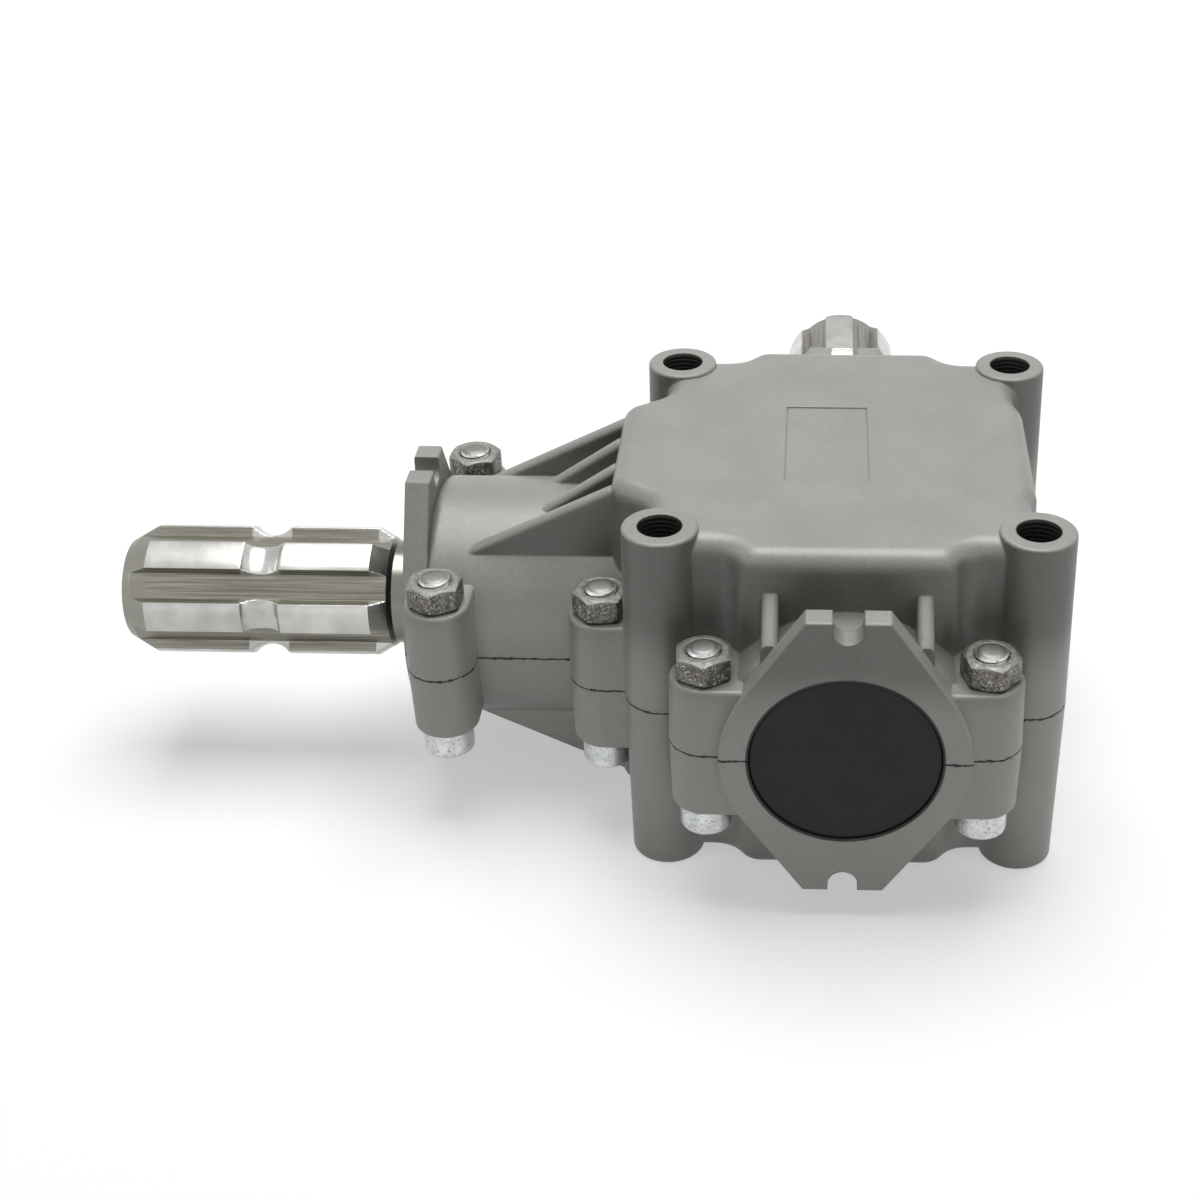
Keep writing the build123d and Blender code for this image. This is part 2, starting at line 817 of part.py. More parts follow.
def circlip(line, start, seat_radius):
    """A ring in a shaft's groove, open below, with an eyelet on each side of its gap."""
    inner = seat_radius - circlip_groove_depth + seat_gap
    outer = inner + circlip_width
    ear_place = inner + circlip_ear_radius
    ear_angle = circlip_gap_angle / 2 + degrees(asin(circlip_ear_radius / ear_place))
    gap_half_width = 2 * outer * tan(radians(circlip_gap_angle / 2))
    ears = PolarLocations(ear_place, 2, 180 - ear_angle, 2 * ear_angle, endpoint=True)
    with BuildPart() as ring:
        with BuildSketch(across(line, start)):
            Circle(outer)
            with ears:
                Circle(circlip_ear_radius)
            Circle(inner, mode=Mode.SUBTRACT)
            with ears:
                Circle(circlip_ear_hole / 2, mode=Mode.SUBTRACT)
            gap_corners = [(0, 0), (-2 * outer, gap_half_width), (-2 * outer, -gap_half_width)]
            Polygon(*gap_corners, align=None, mode=Mode.SUBTRACT)
        extrude(amount=circlip_thickness)
    return ring


pinion_circlip = circlip(input_line, pinion_front - circlip_thickness, pinion_seat)
output_circlip = circlip(front_line, output_shoulder, journal_radius)


# Shaft seals, each with a garter spring round its lip
def oil_seal(line, face):
    """A rubber seal pressed into a mouth, and its spring."""
    outer = seal_outside / 2
    lip = shaft_neck / 2 + seal_lip_gap
    front = face - seal_sink
    back = front - seal_width
    spring_place = (back + seal_lip_thickness, lip + seal_lip_thickness + seal_spring_radius)
    with BuildPart() as seal:
        with BuildSketch(line):
            with BuildLine():
                Polyline(
                    (back, outer),
                    (front, outer),
                    (front, lip + seal_lip_thickness),
                    (front - seal_lip_edge, lip),
                    (front - seal_wall, lip + seal_lip_edge),
                    (back + seal_lip_thickness, lip),
                    (back + seal_lip_edge, lip + seal_lip_edge),
                    (back + seal_lip_edge, lip + seal_lip_thickness),
                    (front - seal_wall, lip + seal_lip_thickness),
                    (front - seal_wall, outer - seal_wall),
                    (back, outer - seal_wall),
                    close=True,
                )
            make_face()
        revolve(axis=line_axis(line))
    with BuildPart() as spring:
        with BuildSketch(line):
            with Locations(spring_place):
                Circle(seal_spring_radius)
        revolve(axis=line_axis(line))
    return seal, spring


input_seal, input_seal_spring = oil_seal(input_line, input_face)
output_seal, output_seal_spring = oil_seal(output_line, output_face)

# Cap that closes the mouth where no shaft comes out
cap_radius = seal_outside / 2
cap_front = output_face - seal_sink
cap_back = cap_front - seal_width
with BuildPart() as front_end_cap:
    with BuildSketch(front_line):
        with BuildLine():
            Polyline(
                (cap_back, cap_radius - cap_rim),
                (cap_back, cap_radius),
                (cap_front - cap_edge, cap_radius),
                (cap_front, cap_radius - cap_edge),
                (cap_front, 0),
                (cap_front - cap_disc, 0),
                (cap_front - cap_disc, cap_radius - cap_rim),
                close=True,
            )
        make_face()
    revolve(axis=line_axis(front_line))


# Oil plugs: a collared screw with a hexagon socket, and its sealing washer
def oil_plug(height):
    wall_face = Plane(origin=(blind_reach + plug_pad_stand, 0, height), z_dir=(1, 0, 0))
    with BuildPart() as plug:
        with BuildSketch(wall_face.offset(washer_thickness)):
            Circle(plug_collar_radius)
        extrude(amount=plug_collar_height)
        chamfer(plug.edges().sort_by(Axis.X)[-1], plug_collar_edge)
        with BuildSketch(wall_face.offset(washer_thickness)):
            Circle(plug_diameter / 2)
        extrude(amount=-plug_length)
        with BuildSketch(wall_face.offset(washer_thickness + plug_collar_height)):
            RegularPolygon(plug_socket_flats / 2, 6, major_radius=False)
        extrude(amount=-plug_socket_depth, mode=Mode.SUBTRACT)
    with BuildPart() as washer:
        with BuildSketch(wall_face):
            Circle(plug_collar_radius)
            Circle(plug_diameter / 2 + thread_gap, mode=Mode.SUBTRACT)
        extrude(amount=washer_thickness)
    return plug, washer


filler_plug, filler_washer = oil_plug(plug_height)
drain_plug, drain_washer = oil_plug(-plug_height)


pieces = {
    "upper_housing": upper_housing,
    "lower_housing": lower_housing,
    "housing_bolts": housing_bolts,
    "housing_nuts": housing_nuts,
    "input_shaft": input_shaft,
    "pinion": pinion,
    "pinion_key": pinion_key,
    "pinion_circlip": pinion_circlip,
    "input_spacer": input_spacer,
    "output_shaft": output_shaft,
    "bevel_gear": bevel_gear,
    "gear_key": gear_key,
    "rear_spacer": rear_spacer,
    "front_spacer": front_spacer,
    "output_circlip": output_circlip,
    "input_seal": input_seal,
    "input_seal_spring": input_seal_spring,
    "output_seal": output_seal,
    "output_seal_spring": output_seal_spring,
    "front_end_cap": front_end_cap,
    "filler_plug": filler_plug,
    "filler_washer": filler_washer,
    "drain_plug": drain_plug,
    "drain_washer": drain_washer,
}
for place, bearing_pieces in bearings.items():
    for kind, piece in bearing_pieces.items():
        pieces[f"{place}_{kind}"] = piece

for name, piece in pieces.items():
    piece.part.label = name
    export_step(piece.part, f"parts/{name}.step")
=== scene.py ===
# %% [markdown]
# # A right angle gearbox: its finishes, its light and its portrait
# The gearbox arrives as solid pieces that are already the right size and in the right
# place. What is missing is everything that the eye reads as metal and rubber. The real
# one is a sand casting under silver-grey paint, with bright machined shafts, dull forged
# nuts, zinc plated screws and a black rubber cap. Each of these gets a finish of its own
# below, worked out from positions on the piece, so that it looks the same from all sides.

# %% Load the pieces
import bpy
import math
import numpy as np
from mathutils import Matrix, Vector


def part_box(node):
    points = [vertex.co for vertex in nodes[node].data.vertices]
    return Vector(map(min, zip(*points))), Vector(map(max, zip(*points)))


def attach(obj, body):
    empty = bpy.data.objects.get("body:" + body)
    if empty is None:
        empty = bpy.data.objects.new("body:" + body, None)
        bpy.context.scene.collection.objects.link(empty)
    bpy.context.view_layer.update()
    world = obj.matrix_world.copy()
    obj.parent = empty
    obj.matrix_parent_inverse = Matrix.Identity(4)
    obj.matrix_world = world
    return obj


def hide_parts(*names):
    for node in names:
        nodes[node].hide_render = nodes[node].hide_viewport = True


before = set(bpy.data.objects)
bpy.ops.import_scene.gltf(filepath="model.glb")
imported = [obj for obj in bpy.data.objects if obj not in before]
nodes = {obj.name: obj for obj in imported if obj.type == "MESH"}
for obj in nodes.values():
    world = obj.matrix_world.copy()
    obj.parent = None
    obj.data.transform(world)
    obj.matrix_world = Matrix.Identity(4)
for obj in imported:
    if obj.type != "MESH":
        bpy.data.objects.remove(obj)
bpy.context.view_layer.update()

# %% [markdown]
# ## Sizes that the finishes need
# A pattern such as turning marks or a dark joint line has to sit in the right place. The
# places are read from the pieces themselves, so they stay right when a piece changes.
# Blender counts in metres, and marks on metal are easier to think of in millimetres.

# %% Places read from the pieces
MM = 0.001


def vertices(name):
    """All corners of a piece's mesh, as rows of x, y and z in millimetres."""
    mesh = nodes[name].data
    flat = np.empty(len(mesh.vertices) * 3, np.float32)
    mesh.vertices.foreach_get("co", flat)
    return flat.reshape(-1, 3).astype(float) / MM


def places_apart(name, apart):
    """The middles, in x and y, of the solids in one node that stand further apart than a distance."""
    left = vertices(name)[:, :2]
    found = []
    while len(left):
        near = np.linalg.norm(left - left[0], axis=1) < apart
        found.append((left[near].min(axis=0) + left[near].max(axis=0)) / 2)
        left = left[~near]
    return np.array(found)


NUT_WIDTH = 13.0
bolt_places = places_apart("housing_bolts", 1.4 * NUT_WIDTH)
nut_low, nut_high = (corner[2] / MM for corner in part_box("housing_nuts"))
bolt_low, bolt_high = (corner[2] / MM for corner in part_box("housing_bolts"))
column_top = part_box("upper_housing")[1][2] / MM
floor_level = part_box("lower_housing")[0][2]
print("bolts at", np.round(bolt_places, 1).tolist())
print("nuts from", round(nut_low, 1), "to", round(nut_high, 1), "column tops at", round(column_top, 1))

# %% [markdown]
# ## Writing a material as arithmetic
# A material in Blender is a net of small nodes. A net for paint with grain, stains and
# worn edges would take pages of wiring. Wrapping a node's output in a small class lets
# Python's own operators do it: an expression on values adds the Math nodes that it needs.

# %% A value that knows arithmetic
class Value:
    """The output of a node. Arithmetic on it adds Math nodes to the same material."""

    def __init__(self, finish, socket):
        self.finish = finish
        self.socket = socket

    def maths(self, operation, *sides):
        return self.finish.node("ShaderNodeMath", {"operation": operation}, dict(enumerate(sides)))

    def __add__(self, other):
        return self.maths("ADD", self, other)

    def __mul__(self, other):
        return self.maths("MULTIPLY", self, other)

    def __sub__(self, other):
        return self.maths("SUBTRACT", self, other)

    def __rsub__(self, other):
        return self.maths("SUBTRACT", other, self)

    def __pow__(self, other):
        return self.maths("POWER", self, other)

    def __neg__(self):
        return self.maths("MULTIPLY", self, -1.0)

    __radd__ = __add__
    __rmul__ = __mul__

    def size(self):
        return self.maths("ABSOLUTE", self)

    def highest(self, other):
        return self.maths("MAXIMUM", self, other)

    def wave(self):
        return self.maths("SINE", self)

    def ramp(self, start, end):
        """Runs smoothly from 0 at start to 1 at end, and back the other way if start is the larger."""
        return self.finish.node(
            "ShaderNodeMapRange",
            {"interpolation_type": "SMOOTHSTEP"},
            {"Value": self, "From Min": start, "From Max": end},
        )


print("a value has:", ", ".join(name for name in vars(Value) if not name.startswith("_")))

# %% [markdown]
# A finish starts from one Principled shader. Everything that is the same all over is set
# on the shader itself, because a number on a socket is clearer than a node that holds it.

# %% A finish under construction
class Finish:
    """A material: one Principled shader, and the nodes that vary it over the piece."""

    def __init__(self, name, **constants):
        self.material = bpy.data.materials.new(name)
        self.material.use_nodes = True
        self.tree = self.material.node_tree
        self.tree.nodes.clear()
        output = self.tree.nodes.new("ShaderNodeOutputMaterial")
        self.shader = self.tree.nodes.new("ShaderNodeBsdfPrincipled")
        self.tree.links.new(self.shader.outputs[0], output.inputs[0])
        for socket, value in constants.items():
            self.shader.inputs[socket.replace("_", " ")].default_value = value
        place = self.node("ShaderNodeTexCoord", out="Object")
        self.place = self.node("ShaderNodeVectorMath", {"operation": "SCALE"}, {0: place, "Scale": 1 / MM})
        split = self.node("ShaderNodeSeparateXYZ", sockets={0: self.place}).socket.node
        self.x, self.y, self.z = (Value(self, output) for output in split.outputs)

    def node(self, kind, settings=None, sockets=None, out=0):
        """Adds a node, sets its settings first, then fills or links its sockets."""
        made = self.tree.nodes.new(kind)
        for name, setting in (settings or {}).items():
            setattr(made, name, setting)
        for name, value in (sockets or {}).items():
            if isinstance(value, Value):
                self.tree.links.new(value.socket, made.inputs[name])
            else:
                made.inputs[name].default_value = value
        return Value(self, made.outputs[out])

    def noise(self, size, detail=2.0, roughness=0.5, place=None, lift=(0, 0, 0)):
        """Cloudy noise around 0.5, with blots of about the given size in millimetres."""
        shifted = self.node("ShaderNodeVectorMath", {"operation": "ADD"}, {0: place or self.place, 1: lift})
        return self.node(
            "ShaderNodeTexNoise",
            {"noise_dimensions": "3D"},
            {"Vector": shifted, "Scale": 1 / size, "Detail": detail, "Roughness": roughness},
        )

    def stretched(self, along_x, along_y, along_z):
        """The place on the piece with each direction squeezed, which draws noise out into streaks."""
        factors = (along_x, along_y, along_z)
        return self.node("ShaderNodeVectorMath", {"operation": "MULTIPLY"}, {0: self.place, 1: factors})

    def mix(self, share, colour, other):
        """The first colour where share is 0 and the other where it is 1."""
        sides = {0: share}
        for index, side in ((6, colour), (7, other)):
            sides[index] = side if isinstance(side, Value) else (*side, 1.0)
        return self.node("ShaderNodeMix", {"data_type": "RGBA", "clamp_factor": True}, sides, out=2)

    def drive(self, **links):
        """Links values to sockets of the shader."""
        for socket, value in links.items():
            self.tree.links.new(value.socket, self.shader.inputs[socket.replace("_", " ")])

    def relief(self, height, soften=0.0):
        """Raises the surface by a height in millimetres, in the shading alone, and softens
        its edges by a radius."""
        sockets = {"Height": height, "Distance": MM, "Strength": 1.0}
        if soften:
            sockets["Normal"] = self.node("ShaderNodeBevel", {"samples": 6}, {"Radius": soften * MM})
        self.drive(Normal=self.node("ShaderNodeBump", sockets=sockets))

    def wear(self, *names):
        """Puts the finish on the named pieces of the frame."""
        for name in names:
            self.coat(nodes[name])

    def coat(self, piece):
        """Puts the finish on one object."""
        piece.data.materials.clear()
        piece.data.materials.append(self.material)


print("a finish has:", ", ".join(name for name in vars(Finish) if not name.startswith("_")))

# %% [markdown]
# ## Silver paint over a sand casting
# The housing is poured in sand and sprayed silver. Three things show that: a fine grain
# of the sand under the paint, broad soft stains where the paint lies thicker, and a dark
# uneven line where the halves meet, because sealant squeezes out of the joint there. The
# paint holds a few metal flakes, so the shader is slightly metallic and fairly rough.

# %% The casting's paint
paint = Finish("silver_paint", Roughness=0.4, Metallic=0.18, Specular_IOR_Level=0.3)
GRAIN_SIZE, SWELL_SIZE, STAIN_SIZE = 0.6, 7.0, 22.0
grain = paint.noise(GRAIN_SIZE, detail=3.0, roughness=0.6)
swell = paint.noise(SWELL_SIZE, detail=2.0)
stain = paint.noise(STAIN_SIZE, detail=4.0, roughness=0.6)
tint = paint.mix(stain.ramp(0.3, 0.7), (0.300, 0.309, 0.286), (0.338, 0.348, 0.322))
tint = paint.mix(grain.ramp(0.62, 0.36) * 0.22, tint, (0.17, 0.175, 0.16))
print("paint grain of", GRAIN_SIZE, "mm over swells of", SWELL_SIZE, "mm")

# %% [markdown]
# The upright walls are made paler near the joint and below it than under the roof's edge.
# That is light and shade painted into the colour: painted shade darkens the walls under
# the roof, and painted light, as from the pale floor, lightens the lower walls. How upright
# a wall is comes from its normal's height.

# %% Painted shade and painted light on the upright walls
LIT_WALLS_BELOW, SHADED_WALLS_ABOVE = 10, 28
normal = paint.node("ShaderNodeNewGeometry", out="Normal")
upright = paint.node("ShaderNodeSeparateXYZ", sockets={0: normal}, out="Z").size().ramp(0.6, 0.2)
roof_shade = paint.z.ramp(LIT_WALLS_BELOW, SHADED_WALLS_ABOVE)
# Painted shade: the upright walls under the roof are darkened.
tint = paint.mix(upright * roof_shade * 0.42, tint, (0.10, 0.10, 0.09))
# Painted light: the upright walls near the joint and below it are lightened, as by light from the floor.
tint = paint.mix(upright * (1 - roof_shade) * 0.45, tint, (0.46, 0.47, 0.44))
print("paint thins out on walls between", LIT_WALLS_BELOW, "and", SHADED_WALLS_ABOVE, "mm above the joint")

# %% [markdown]
# The joint line is drawn round the height where the halves meet. Noise along it makes it
# wander and widen, and a second, finer noise breaks small chips of paint out of its edge.

# %% The joint between the halves
JOINT_LEAST, JOINT_SPREAD, JOINT_WANDER = 0.15, 0.4, 0.9
joint_width = JOINT_LEAST + paint.noise(1.8, detail=4.0, roughness=0.75).ramp(0.45, 0.70) * JOINT_SPREAD
joint_height = (paint.z + (paint.noise(4.0, detail=3.0) - 0.5) * JOINT_WANDER).size()
joint = (joint_width - joint_height).ramp(-0.06, 0.06)
chips = paint.noise(0.9, detail=5.0, roughness=0.7, lift=(4.0, 9.0, 2.0)).ramp(0.64, 0.70)
chips = chips * joint_height.ramp(2.2, 0.6)
dark_line = joint.highest(chips)
print("joint line from", JOINT_LEAST, "to", JOINT_LEAST + JOINT_SPREAD, "mm half width")

# %% [markdown]
# Handling leaves short dark scratches. They are noise that is drawn out upwards, and they
# are kept to patches by a broader noise, since scratches on a real casting come in groups.
# The holes of the columns are drilled, so they show rings of bare, darker metal instead.
# Where the rubber cap sits in its bore, a thin dark ring of painted shade stands for the gap between them.

# %% Scratches, drilled holes and the paint's shader
COLUMN_PITCH, HOLE_RADIUS = 91.0, 5.5
CAP_RADIUS, FRONT_FACE = 23.5, -74.5
drawn_out = paint.stretched(1.6, 1.6, 0.32)
scratch = paint.noise(1.0, detail=3.0, roughness=0.6, place=drawn_out).ramp(0.705, 0.73)
scratch = scratch * paint.noise(11.0, detail=1.0, lift=(31.0, 5.0, 17.0)).ramp(0.58, 0.66)
off_x = paint.x.size() - COLUMN_PITCH / 2
off_y = paint.y.size() - COLUMN_PITCH / 2
from_hole = (off_x * off_x + off_y * off_y) ** 0.5 - HOLE_RADIUS
drilled = from_hole.ramp(0.12, 0.02)
rings = (paint.z * 5.2).wave() * 0.5 + 0.5
from_cap = ((paint.x * paint.x + paint.z * paint.z) ** 0.5 - CAP_RADIUS).ramp(0.75, 0.45)
# Painted shade: a near-black ring round the cap stands for the gap in its bore.
gap_shade_ring = from_cap * paint.y.ramp(FRONT_FACE + 2.5, FRONT_FACE + 1.5)
marked = paint.mix(scratch * 0.75, tint, (0.05, 0.045, 0.04))
marked = paint.mix(gap_shade_ring * 0.9, marked, (0.012, 0.012, 0.012))
marked = paint.mix(dark_line * 0.9, marked, (0.02, 0.02, 0.02))
paint.drive(Base_Color=paint.mix(drilled, marked, (0.10, 0.10, 0.095)))
paint.drive(Roughness=0.33 + grain * 0.12 + stain * 0.06 + dark_line * 0.25)
paint.drive(Metallic=0.18 - dark_line * 0.18 + drilled * 0.5)
height = grain * 0.055 + swell * 0.12 - dark_line * 0.25 - scratch * 0.05 + drilled * rings * 0.08
paint.relief(height, soften=0.9)
paint.wear("upper_housing", "lower_housing")
print("scratches, drilled column holes and sand grain are on the paint")

# %% [markdown]
# ## Shaping from rows of points
# The shafts, screws and nuts below are all profiles that are carried round an axis. Only
# the radius changes with the angle: to a tooth, to a hexagon or along a thread. So each of
# them is a grid of points, one row for each step along the axis, with a skin over it.

# %% A closed skin from a grid of points
SHARP_FROM = 28


def skin(name, grid, places, looped):
    """A mesh of equal closed shapes. A grid has one row of points for each step along the
    profile, and each row goes once round. A looped profile ends where it starts. Any
    other is closed by a fan of triangles from its first and its last row to their middles."""
    rows, columns, _ = grid.shape
    corner = np.arange(rows * columns).reshape(rows, columns)
    beside = np.roll(corner, -1, axis=1)
    above, above_beside = np.roll(corner, -1, axis=0), np.roll(beside, -1, axis=0)
    quads = np.stack([corner, beside, above_beside, above], axis=-1)
    points = grid.reshape(-1, 3)
    fans = np.empty((0, 3), int)
    if not looped:
        first, last = rows * columns, rows * columns + 1
        points = np.vstack([points, grid[0].mean(axis=0), grid[-1].mean(axis=0)])
        first_fan = np.stack([beside[0], corner[0], np.full(columns, first)], axis=-1)
        last_fan = np.stack([corner[-1], beside[-1], np.full(columns, last)], axis=-1)
        quads, fans = quads[:-1], np.vstack([first_fan, last_fan])
    moved = points[None] + np.column_stack([places, np.zeros(len(places))])[:, None]
    shifts = np.arange(len(places))[:, None, None] * len(points)
    faces = (quads.reshape(-1, 4) + shifts).reshape(-1, 4).tolist()
    faces += (fans + shifts).reshape(-1, 3).tolist()
    mesh = bpy.data.meshes.new(name)
    mesh.from_pydata((moved.reshape(-1, 3) * MM).tolist(), [], faces)
    mesh.shade_smooth()
    mesh.set_sharp_from_angle(angle=math.radians(SHARP_FROM))
    piece = bpy.data.objects.new(name, mesh)
    bpy.context.scene.collection.objects.link(piece)
    print(name, "has", len(mesh.polygons), "faces on", len(places), "shapes")
    return piece


def around(radius, height, angle):
    """Points at a radius and height round an upright axis: x = r cos a, y = r sin a."""
    radius, height, angle = np.broadcast_arrays(radius, height, angle)
    return np.stack([radius * np.cos(angle), radius * np.sin(angle), height], axis=-1)


def hexagon(flats, angle):
    """The radius of a hexagon: half its flats over the cosine of the angle from a flat's middle."""
    return flats / 2 / np.cos(np.mod(angle, math.pi / 3) - math.pi / 6)


print("edges sharper than", SHARP_FROM, "degrees stay sharp")

# %% [markdown]
# ## The splined shafts
# Both shafts end in the six teeth that farm machines share: 34.9 mm over the teeth, with
# sides that run parallel. A milling cutter has sunk the spaces between them, a form tool
# has turned the round groove that a coupling's pin drops into, and the end is chamfered,
# so that a sleeve slides on. The radius at each point is the smallest of these cuts. In
# the picture a space, not a tooth, faces the camera, and the teeth are turned to suit.

# %% Rows of points along a shaft
TEETH, TOOTH_TOP, TOOTH_FOOT, TOOTH_WIDTH = 6, 17.425, 14.8, 8.64
SPLINE_REACH, CHAMFER_LENGTH, END_RADIUS = 79.4, 7.0, 13.4
NECK_RADIUS, NECK_END, CONE_END = 14.0, 6.4, 12.1
GROOVE_FROM_END, GROOVE_RADIUS, GROOVE_FLOOR = 38.0, 6.8, 14.95
JOURNAL, SHOULDER_DEPTH, INNERMOST = 12.48, 8.0, 1.0
HAIR, LEAST_SINE = 0.01, 0.01


def corner_angles(half_width, radii):
    """Where straight sides at half a width from a middle line cross circles, as angles."""
    sides = np.arcsin(half_width / np.array(radii))
    return np.concatenate([-sides, sides])


def shaft_grid(nose, mouth, turn, key):
    """Points along a shaft. The radius is the least of the turned profile, the spaces between
    teeth (the larger of their floor and half a tooth's width over the sine of the angle from
    its middle), the groove (its floor plus the height of a circle) and the key's bed (its
    height over the cosine of the angle, or half its width over the sine where that is more)."""
    end, shoulder = mouth + SPLINE_REACH, mouth - SHOULDER_DEPTH
    groove_middle = end - GROOVE_FROM_END
    profile = nose + [
        (shoulder - HAIR, JOURNAL),
        (shoulder, NECK_RADIUS),
        (mouth + NECK_END, NECK_RADIUS),
        (mouth + CONE_END, TOOTH_TOP),
        (end - CHAMFER_LENGTH, TOOTH_TOP),
        (end - HAIR, END_RADIUS),
        (end, INNERMOST),
    ]
    along, radius = np.array(profile).T
    key_middle, key_length, key_width, key_bed = key
    key_ends = np.array([key_length, key_length + HAIR]) / 2
    key_rows = np.concatenate([key_middle - key_ends, key_middle + key_ends])
    cone = np.linspace(mouth + NECK_END, mouth + CONE_END, 14)
    groove_rows = np.linspace(groove_middle - GROOVE_RADIUS, groove_middle + GROOVE_RADIUS, 51)
    chamfer = np.linspace(end - CHAMFER_LENGTH, end - HAIR, 18)
    rows = np.unique(np.concatenate([along, key_rows, cone, groove_rows, chamfer]))[:, None]

    pitch = 2 * math.pi / TEETH
    tooth = corner_angles(TOOTH_WIDTH / 2, [TOOTH_TOP, 16.5, 15.6, TOOTH_FOOT])
    one_pitch = np.concatenate([tooth, np.linspace(-pitch / 2, pitch / 2, 19)])
    all_teeth = (np.arange(TEETH)[:, None] * pitch + math.radians(turn) + one_pitch).ravel()
    key_sides = corner_angles(key_width / 2, [JOURNAL, math.hypot(key_bed, key_width / 2)])
    angles = np.unique(np.round(np.mod(np.concatenate([all_teeth, key_sides]), 2 * math.pi), 4))
    from_tooth = np.mod(angles - math.radians(turn) + pitch / 2, pitch) - pitch / 2

    turned = np.interp(rows, along, radius)
    half_tooth = TOOTH_WIDTH / 2 / np.maximum(np.abs(np.sin(from_tooth)), LEAST_SINE)
    spaces = np.where(rows > mouth + NECK_END, np.maximum(TOOTH_FOOT, half_tooth), TOOTH_TOP)
    across = np.clip(1 - ((rows - groove_middle) / GROOVE_RADIUS) ** 2, 0, 1)
    groove = GROOVE_FLOOR + GROOVE_RADIUS * (1 - np.sqrt(across))
    upward = np.maximum(np.cos(angles), LEAST_SINE)
    sideways = np.maximum(np.abs(np.sin(angles)), LEAST_SINE)
    bed = np.maximum(key_bed / upward, key_width / 2 / sideways)
    beside_key = (np.cos(angles) > 0) & (np.abs(rows - key_middle) <= key_length / 2)
    bed = np.where(beside_key, bed, TOOTH_TOP)
    least = np.minimum(np.minimum(turned, spaces), np.minimum(groove, bed))
    return around(least, rows, angles)


print("teeth from", TOOTH_FOOT, "to", TOOTH_TOP, "mm from the axis")

# %% [markdown]
# The inner ends are hidden in the housing and are shaped all the same. Each has a small
# chamfer, a groove for a retaining ring and a bed for the key that drives its gear. Where
# the ends and the keys are is read from the pieces. The input shaft points to the left of
# the picture and the output shaft to the back.

# %% Shafts
X_AXIS, Y_AXIS = 0, 1
PINION_LENGTH, PINION_SEAT = 22.0, 9.98
NOSE_LENGTH, NOSE_EDGE, RING_GROOVE_WIDTH, RING_GROOVE_DEPTH = 2.8, 1.0, 1.3, 0.7
INPUT_TURN, OUTPUT_TURN = 34.5, -2.4
KEY_PLAY = 0.04


def box_corners(name):
    """A piece's lowest and highest corner, in millimetres."""
    return np.round(np.array(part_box(name)) / MM, 3)


def key_place(name, axis):
    """The middle, length, width and height above the axis of the bed that a key lies in."""
    low, high = box_corners(name)
    length, width = (high - low)[[axis, 1 - axis]] + KEY_PLAY
    return abs(low[axis] + high[axis]) / 2, length, width, low[2]


def nose(groove_end, seat):
    """A shaft's inner end, up to the far side of the groove for its retaining ring."""
    start, groove_start = groove_end - NOSE_LENGTH, groove_end - RING_GROOVE_WIDTH
    return [
        (start, INNERMOST),
        (start + HAIR, seat - NOSE_EDGE),
        (start + NOSE_EDGE, seat),
        (groove_start, seat),
        (groove_start + HAIR, seat - RING_GROOVE_DEPTH),
        (groove_end, seat - RING_GROOVE_DEPTH),
        (groove_end + HAIR, seat),
    ]


def laid_along(grid, axis):
    """A grid round an upright axis, laid down so that it points to -X or to +Y."""
    up, side, out = np.moveaxis(grid, -1, 0)
    return np.stack([-out, side, up] if axis == X_AXIS else [side, out, up], axis=-1)


input_mouth = -box_corners("input_shaft")[0][X_AXIS] - SPLINE_REACH
output_mouth = box_corners("output_shaft")[1][Y_AXIS] - SPLINE_REACH
pinion_front = NOSE_LENGTH - box_corners("input_shaft")[1][X_AXIS]
pinion_back = pinion_front + PINION_LENGTH
input_nose = nose(pinion_front, PINION_SEAT) + [(pinion_back, PINION_SEAT), (pinion_back + HAIR, JOURNAL)]
output_nose = nose(SHOULDER_DEPTH - output_mouth, JOURNAL)
input_grid = shaft_grid(input_nose, input_mouth, INPUT_TURN, key_place("pinion_key", X_AXIS))
output_grid = shaft_grid(output_nose, output_mouth, OUTPUT_TURN, key_place("gear_key", Y_AXIS))
print("housing's mouths at", input_mouth, "and", output_mouth, "mm, pinion from", pinion_front, "mm")

shaft_points = {"input": laid_along(input_grid, X_AXIS), "output": laid_along(output_grid, Y_AXIS)}
shafts = {}
for side, points in shaft_points.items():
    shaft = shafts[side] = skin(f"splined_{side}_shaft", points, np.zeros((1, 2)), looped=False)
    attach(shaft, f"{side}_line")
    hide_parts(f"{side}_shaft")

# %% [markdown]
# The lathe leaves fine rings round a shaft, and the cutter leaves streaks along it. Both
# are noise that is squeezed hard in one direction. The tops of the teeth and the groove
# are turned bright, while the milled spaces stay brown and dull from the cutting oil. A
# point's distance from the axis, the root of a sum of squares, tells where it lies.

